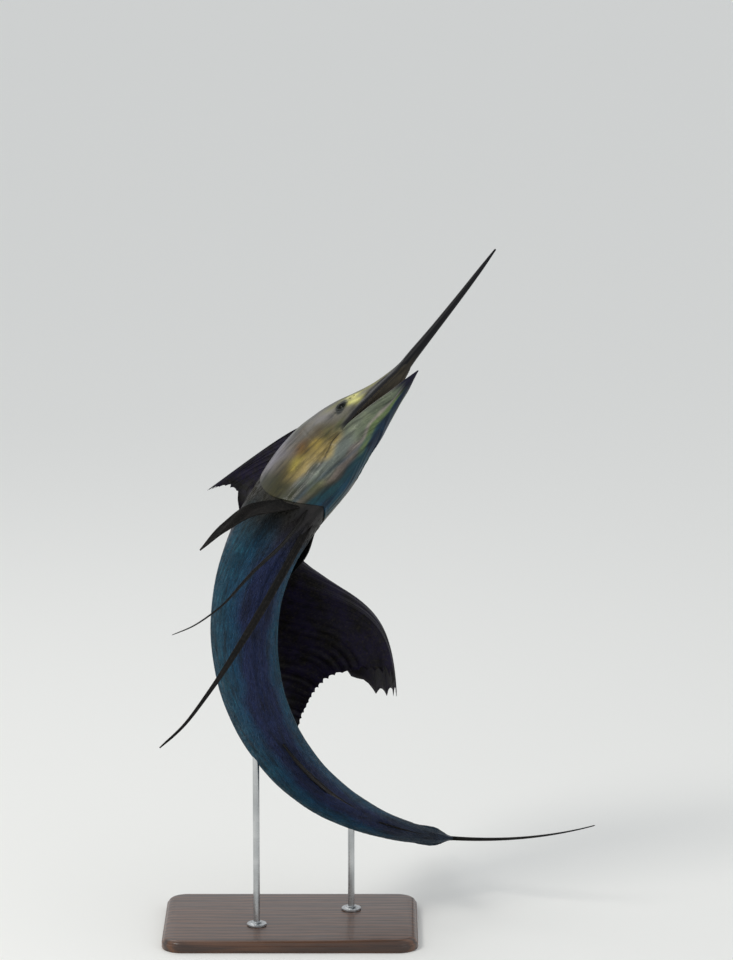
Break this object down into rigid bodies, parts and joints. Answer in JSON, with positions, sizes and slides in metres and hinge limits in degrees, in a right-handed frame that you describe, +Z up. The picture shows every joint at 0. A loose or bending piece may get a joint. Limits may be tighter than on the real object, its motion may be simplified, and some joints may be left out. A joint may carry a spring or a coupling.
{
  "type": "sailfish model",
  "caption": "Life-size still model of a leaping sailfish, bill raised, mouth open, body curved and sail flopped to one side, held above a flat display base by slim rods.",
  "frame": {"origin": "middle of the display base's underside", "axes": "+Z up; the picture looks along +Y, so -Y faces the viewer and the bill points up to the viewer's right, +X"},
  "size_m": [1.0583, 1.0155, 1.6625],
  "materials": {
    "bill": "wet horn, nearly black",
    "head_skin": "wet skin, olive and bronze",
    "body_skin": "wet skin, dark blue and teal over a paler belly",
    "sail": "wet membrane, dark purple and blue-black",
    "fin": "wet membrane, blue-black",
    "eye": "wet and glossy, dark pupil in a silver-gold iris",
    "base_wood": "dark stained, satin varnish",
    "rod_steel": "satin"
  },
  "bodies": {
    "root": {"bill": "bill", "head": "head_skin", "lower_jaw": "head_skin", "eye_left": "eye", "eye_right": "eye", "trunk_front": "body_skin", "trunk_middle": "body_skin", "trunk_rear": "body_skin", "tail_stalk": "body_skin", "dorsal_front": "sail", "sail_front": "sail", "sail_middle": "sail", "sail_rear": "sail", "dorsal_rear": "fin", "anal_front": "fin", "anal_rear": "fin", "tail_fin_upper": "fin", "tail_fin_lower": "fin", "pectoral_left": "fin", "pectoral_right": "fin", "pelvic_left": "fin", "pelvic_right": "fin", "stand_base": "base_wood", "stand_rod_front": "rod_steel", "stand_rod_rear": "rod_steel"}
  },
  "joints": []
}
